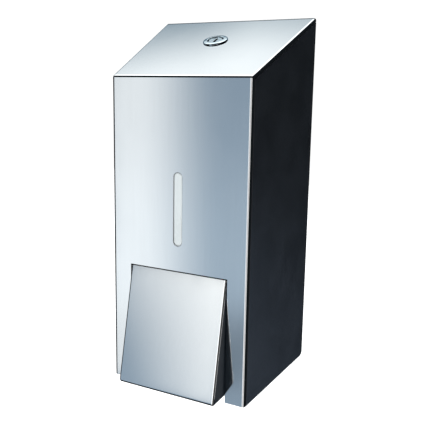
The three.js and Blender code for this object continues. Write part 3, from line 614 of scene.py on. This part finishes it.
def lock_barrel(materials):
    """The turning plug with its keyway, the tail for the cam and the thread for the cam's screw."""
    edge_in, edge_down = 0.3, 0.35
    profile = [(0, PLUG_LOW), (PLUG_RADIUS, PLUG_LOW), (PLUG_RADIUS, PLUG_TOP - edge_down)]
    profile += [(PLUG_RADIUS - edge_in, PLUG_TOP), (0, PLUG_TOP)]
    plug = new_object("lock_barrel", turned(profile))
    tail = block((-TAIL_HALF, -TAIL_HALF, TAIL_LOW), (TAIL_HALF, TAIL_HALF, PLUG_LOW + 1))
    combine(plug, "UNION", tail)
    keyway = block((-KEYWAY_HALF, -KEYWAY_REACH, -KEYWAY_DEPTH), (KEYWAY_HALF, KEYWAY_REACH, PAST))
    start = TAIL_LOW - PAST
    drill = [(0, start), (THREAD_RADIUS, start), (THREAD_RADIUS, THREAD_TOP), (0, THREAD_TOP)]
    combine(plug, "DIFFERENCE", keyway, new_object("thread", turned(drill, 24)))
    soften(on_lock_axis(plug), 0.12)
    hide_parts("lock_plug")
    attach(plug, "lock")
    return dress(plug, materials, "chromed_zinc")


# ---------------------------------------------------------------- lever


def lever_face(materials):
    """The lever's polished plate, folded back a little at its sides and foot."""
    low, high = box_mm("lever_plate")
    fold, bend, foot_bend = 2.05, 1.2, 2.0
    foot_height = 5.5  # of the plate's foremost edge, above the cover's foot
    foot_drop = 1.5  # of the plate's underside, from that edge to the cover's front
    foot = Vector((low.y, FOOT_Z + foot_height))
    reach = FRONT_Y - low.y
    tilt = reach / (high.z - foot.y)
    fold_depth = fold * math.hypot(1, tilt)
    back = (foot.x + fold_depth, foot.y - foot_drop / reach * fold_depth)
    top = (FRONT_Y + tilt * PAST, high.z + PAST)
    plate = folded_sheet("lever_face", [back, tuple(foot), top], fold, lambda y: high.x, 0.0, bend, foot_bend)
    above_low = (low.x - PAST, low.y - PAST, high.z)
    above_high = (high.x + PAST, FRONT_Y + 3 * PAST, high.z + 3 * PAST)
    combine(plate, "DIFFERENCE", block(above_low, above_high))
    soften(plate, 0.15)
    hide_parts("lever_plate")
    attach(plate, "lever")
    return dress(plate, materials, "polished_steel")


# ---------------------------------------------------------------- pump


def return_spring(materials):
    """The pump's coil spring, with its end turns closed."""
    low, high = box_mm("pump_spring")
    axis = (low + high) / 2
    wire = 0.85
    radius = (high.z - low.z) / 2 - wire
    turns, around, sides = 7.5, 28, 12
    steps = int(turns * around)
    start, end = low.y + wire, high.y - wire

    def along(t):
        """Share of the length reached at share t of the wire: close end turns, open ones between."""
        closed = 1.0 / turns
        flat = 2 * wire / (end - start)
        first = min(1, t / closed)
        inner = min(1.0, max(0.0, (t - closed) / (1 - 2 * closed)))
        last = max(0, (t - 1 + closed) / closed)
        return flat * first + (1 - 2 * flat) * inner + flat * last

    bm = bmesh.new()
    loops = []
    for i in range(steps + 1):
        t = i / steps
        angle = 2 * math.pi * turns * t
        out = Vector((math.cos(angle), 0, math.sin(angle)))
        centre = axis + radius * out
        centre.y = start + (end - start) * along(t)
        loops.append([centre + wire * (math.cos(a) * out + math.sin(a) * Vector((0, 1, 0)))
                      for a in (2 * math.pi * k / sides for k in range(sides))])
    loft(bm, loops)
    coil = new_object("return_spring", bm)
    for face in coil.data.polygons:
        face.use_smooth = True
    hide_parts("pump_spring")
    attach(coil, "wall_unit")
    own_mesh(coil)
    return dress(coil, materials, "spring_steel")


# ---------------------------------------------------------------- CAD nodes that stay


def dress_cad_nodes(materials):
    """Gives every carried-over node its material and softened edges."""
    slots = {row["node"]: row["material_slot"] for row in frame["record"]["subparts"]}
    for name, obj in frame["nodes"].items():
        dress(obj, materials, slots[name])
        if not obj.hide_render:
            weld = obj.modifiers.new("weld", "WELD")
            weld.merge_threshold = 1e-6  # joins only the corners that the frame's file splits
            soften(obj, 0.25, angle=40)


# ---------------------------------------------------------------- studio


LIGHT_DISTANCE = 1000.0  # from the steel front to the light panels
PANELS = ("cheek_left", "cheek_right")
OUTSIDE = (*PANELS, "lever_core")
WHITE = colour(1, 1, 1)


def degrees(*angles):
    """Angles given in degrees, in the radians that the nodes use."""
    return [math.radians(angle) for angle in angles]


def add_world():
    """The dark studio that the steel mirrors, and the plain white backdrop that the camera sees.

    x, y and z are the direction's own; the azimuth is 0 straight in front of the dispenser and grows to the
    left of it, seen by someone who faces it.
    """
    world = bpy.data.worlds.new("studio")
    bpy.context.scene.world = world
    world.use_nodes = True
    nodes = Nodes(world.node_tree)
    ray = nodes.add("ShaderNodeTexCoord", output="Generated")
    x, y, z = (nodes.dot(ray, axis) for axis in ((1, 0, 0), (0, 1, 0), (0, 0, 1)))
    azimuth = nodes.math("ARCTAN2", nodes.times(x, -1.0), nodes.times(y, -1.0))
    slant = math.radians(14)
    overhead = nodes.dot(ray, (-math.sin(slant), 0, math.cos(slant)))

    # A grey-blue screen low at the front left, with a paler band across it and a dimmer one low on its right.
    screen = nodes.times(nodes.between(azimuth, *degrees(8, 16, 35, 39)),
                         nodes.between(z, -0.66, -0.56, 0.05, 0.16))
    low_right = nodes.times(nodes.between(z, -0.35, -0.41, -0.455, -0.49),
                            nodes.smooth(azimuth, *degrees(25, 30), 0.34, 0.0))
    screen_dimmed = nodes.times(screen, nodes.math("SUBTRACT", 1.0, low_right))
    screen_glow = nodes.times(screen, nodes.between(z, 0.0, -0.30, -0.32, -0.42))

    # Over and behind the dispenser, what the slope mirrors: a slanting ceiling that grows brighter upward.
    behind = nodes.times(nodes.smooth(y, -0.35, 0.1), nodes.smooth(x, 0.22, 0.34, 1.0, 0.0))
    ceiling = nodes.times(behind, nodes.smooth(overhead, 0.664, 0.752))
    zenith = nodes.times(behind, nodes.smooth(overhead, 0.78, 0.97))
    upper_back = nodes.times(behind, nodes.between(z, 0.05, 0.6, 0.9, 1.0))
    right_side = nodes.times(nodes.smooth(x, -0.2, 0.1), nodes.between(z, 0.7, 0.78, 2, 3))
    upper_right = nodes.times(behind, right_side)
    patch = nodes.times(nodes.between(x, -0.45, -0.34, -0.2, -0.1), nodes.between(z, 0.5, 0.58, 0.63, 0.7))

    lights = (
        (screen_dimmed, colour(0.27, 0.358, 0.45)),
        (screen_glow, colour(0.12, 0.14, 0.155)),
        (upper_back, colour(0.13, 0.22, 0.29)),
        (nodes.times(behind, patch), colour(0.22, 0.22, 0.21)),
        (ceiling, colour(0.96, 0.94, 0.90)),
        (upper_right, colour(0.9, 0.9, 0.9)),
        (zenith, colour(1.3, 1.3, 1.3)),
    )
    total = nodes.add("ShaderNodeRGB")
    total.default_value = colour(0.008, 0.010, 0.012)
    for weight, tint in lights:
        lit = nodes.mix(weight, colour(0, 0, 0), tint)
        total = nodes.add("ShaderNodeVectorMath", {0: total, 1: lit}, operation="ADD")

    studio = nodes.add("ShaderNodeBackground", {"Color": total, "Strength": 1.0})
    backdrop = nodes.add("ShaderNodeBackground", {"Color": WHITE, "Strength": 1.05})
    seen = nodes.add("ShaderNodeLightPath", output="Is Camera Ray")
    shader = nodes.add("ShaderNodeMixShader", {0: seen, 1: studio, 2: backdrop})
    output = nodes.tree.nodes.new("ShaderNodeOutputWorld")
    nodes.tree.links.new(shader, output.inputs["Surface"])


def add_floor():
    """A plain pale floor well below the dispenser."""
    below, half = 900.0, 6000.0
    bm = bmesh.new()
    corners = [(-half, -half), (half, -half), (half, half), (-half, half)]
    bm.faces.new([bm.verts.new((x, y, FOOT_Z - below)) for x, y in corners])
    floor = new_object("floor", bm)

    def paint(nodes, place):
        grain = nodes.noise(place, 40, detail=3)
        tone = nodes.mix(grain, colour(0.86, 0.86, 0.86), colour(0.9, 0.9, 0.9))
        return {"Base Color": tone, "Emission Strength": nodes.smooth(grain, 0.0, 1.0, 0.98, 1.02)}

    floor.data.materials.append(surface("floor", paint, Roughness=0.8, Emission_Color=WHITE))
    floor.visible_glossy = False


def light_panel(name, low, high, facing, radiance, only=None, not_for=None, glow=None, tint=(1, 1, 1)):
    """A flat light between two corners, unseen by the camera.

    It lights just the pieces in only, or all but those in not_for. glow(nodes, across, up) gives how
    bright it is at each share of its width and height.
    """
    low, high = Vector(low) * MM, Vector(high) * MM
    span = high - low
    light = bpy.data.lights.new(name, "AREA")
    light.shape = "RECTANGLE"
    light.size = math.hypot(span.x, span.y)
    light.size_y = span.z
    light.energy = math.pi * radiance * light.size * light.size_y
    light.color = tint
    obj = bpy.data.objects.new(name, light)
    obj.location = (low + high) / 2
    obj.rotation_euler = (-Vector(facing)).to_track_quat("Z", "Y").to_euler()
    obj.visible_camera = False
    bpy.context.scene.collection.objects.link(obj)
    if glow:
        light.use_nodes = True
        nodes = Nodes(light.node_tree)
        spot = nodes.add("ShaderNodeNewGeometry", output="Parametric")
        across, up = (nodes.dot(spot, axis) for axis in ((1, 0, 0), (0, 1, 0)))
        emission = nodes.add("ShaderNodeEmission", {"Color": WHITE, "Strength": glow(nodes, across, up)})
        output = nodes.tree.nodes.new("ShaderNodeOutputLight")
        nodes.tree.links.new(emission, output.inputs["Surface"])
    if only or not_for:
        group = bpy.data.collections.new(name + "_receivers")
        for piece in only or not_for:
            group.objects.link(piece)
        for member in group.collection_objects:
            member.light_linking.link_state = "INCLUDE" if only else "EXCLUDE"
        obj.light_linking.receiver_collection = group
    return obj


def add_light_panels(skin, lever, core, lock, panels, inner):
    """Soft boxes at the front right, and graded cards that each light one polished piece."""
    front = FRONT_Y - LIGHT_DISTANCE
    low, high, right = -950.0, 200.0, 1000.0
    box_left, box_depth = -270.0, -713.0
    inward, leftward = (0, 1, 0), (-1, 0, 0)
    warm, cool, blue = (1.0, 0.95, 0.86), (0.9, 1, 1), (0.55, 0.72, 1)

    def front_panel(name, left, end, radiance, floor=low, top=high, **linked):
        """A panel in front of the dispenser, from left to end and from floor to top."""
        light_panel(name, (left, front, floor), (end, front, top), inward, radiance, **linked)

    def right_panel(name, back, radiance, **linked):
        """A panel on the right, from the front panels back to the depth back."""
        light_panel(name, (right, front, low), (right, back, high), leftward, radiance, **linked)

    # The two soft boxes light what isn't polished; the polished pieces have panels of their own.
    own_light = [skin, lever, core, *lock]
    front_panel("front_box", box_left, right, 1.6, not_for=own_light)
    right_panel("side_box", box_depth, 1.6, not_for=own_light)

    # An even room light for the pieces behind the cover.
    front_panel("room_front", -1200, 1200, 0.9, floor=-400, top=1400, only=inner)
    light_panel("room_back", (-900, 1400, -500), (900, 1400, 900), (0, -1, 0), 0.9, only=inner)

    # The light line along the cover's folds. The gap keeps the lever's edge from mirroring a second line.
    front_panel("edge_left", box_left, 310, 1.0, only=[skin])
    front_panel("edge_gap", 310, 540, 0.08, only=[skin])
    front_panel("edge_right", 540, 1100, 1.0, only=[skin])

    # The same for the lever, with a dim surround.
    front_panel("lever_box", -250, 220, 2.2, only=[lever])
    front_panel("lever_front", 220, right, 0.06, only=[lever])
    right_panel("lever_side", 900, 0.06, only=[lever])

    # The wedge behind the lever, the lock and the two side panels.
    light_panel("lever_fill", (900, -400, 0), (900, 200, 400), leftward, 0.8, only=[core], tint=cool)
    front_panel("lock_box", -760, -330, 1.3, floor=-250, top=250, only=lock)
    fill_facing = (-1, -0.5, 0.25)
    light_panel("panel_fill", (1100, 100, -900), (1100, 900, -300), fill_facing, 1.5, only=panels, tint=blue)

    # Cards that grade the polished front and the lever's face.
    def front_glow(nodes, across, up):
        return nodes.smooth(across, 0.89, 0.23, 0.0, 0.66)

    def lever_glow(nodes, across, up):
        rising = nodes.times(up, nodes.math("SUBTRACT", 0.71, nodes.times(across, 0.40)))
        sideways = nodes.math("SUBTRACT", nodes.times(across, 0.93), 0.25)
        return nodes.math("ADD", rising, sideways, clamp=True)

    front_panel("front_card", -750, -360, 1.0, floor=-750, top=150, only=[skin], glow=front_glow, tint=warm)
    front_panel("lever_card", -640, -330, 1.0, floor=-250, top=50, only=[lever], glow=lever_glow, tint=warm)


def add_camera():
    """Looks from the right of the dispenser and a little above its middle, as in the photo."""
    place = Vector((0.17994, -0.43562, 0.08113))
    yaw, pitch, roll = (math.radians(a) for a in (26.716, 9.625, -0.599))
    ahead = Vector((-math.sin(yaw) * math.cos(pitch), math.cos(yaw) * math.cos(pitch), -math.sin(pitch)))
    level = Vector((math.cos(yaw), math.sin(yaw), 0))
    down = ahead.cross(level)
    right = math.cos(roll) * level + math.sin(roll) * down
    below = math.cos(roll) * down - math.sin(roll) * level

    data = bpy.data.cameras.new("camera")
    data.sensor_width = 36.0
    data.lens = 50.453
    data.shift_x = 0.0508
    data.shift_y = -0.0650
    data.clip_start = 0.01
    camera = bpy.data.objects.new("camera", data)
    camera.matrix_world = Matrix.Translation(place) @ Matrix((right, -below, -ahead)).transposed().to_4x4()
    bpy.context.scene.collection.objects.link(camera)
    bpy.context.scene.camera = camera


# ---------------------------------------------------------------- the whole scene

materials = make_materials()
skin = cover_skin(materials)
level_window(materials)
lock = [lock_head(materials), lock_barrel(materials)]
lever = lever_face(materials)
coil = return_spring(materials)
dress_cad_nodes(materials)

add_world()
add_floor()
panels = [frame["nodes"][name] for name in PANELS]
inner = [obj for name, obj in frame["nodes"].items() if not obj.hide_render and name not in OUTSIDE]
add_light_panels(skin, lever, frame["nodes"]["lever_core"], lock, panels, inner + [coil])
add_camera()
bpy.context.scene.view_settings.view_transform = "Standard"
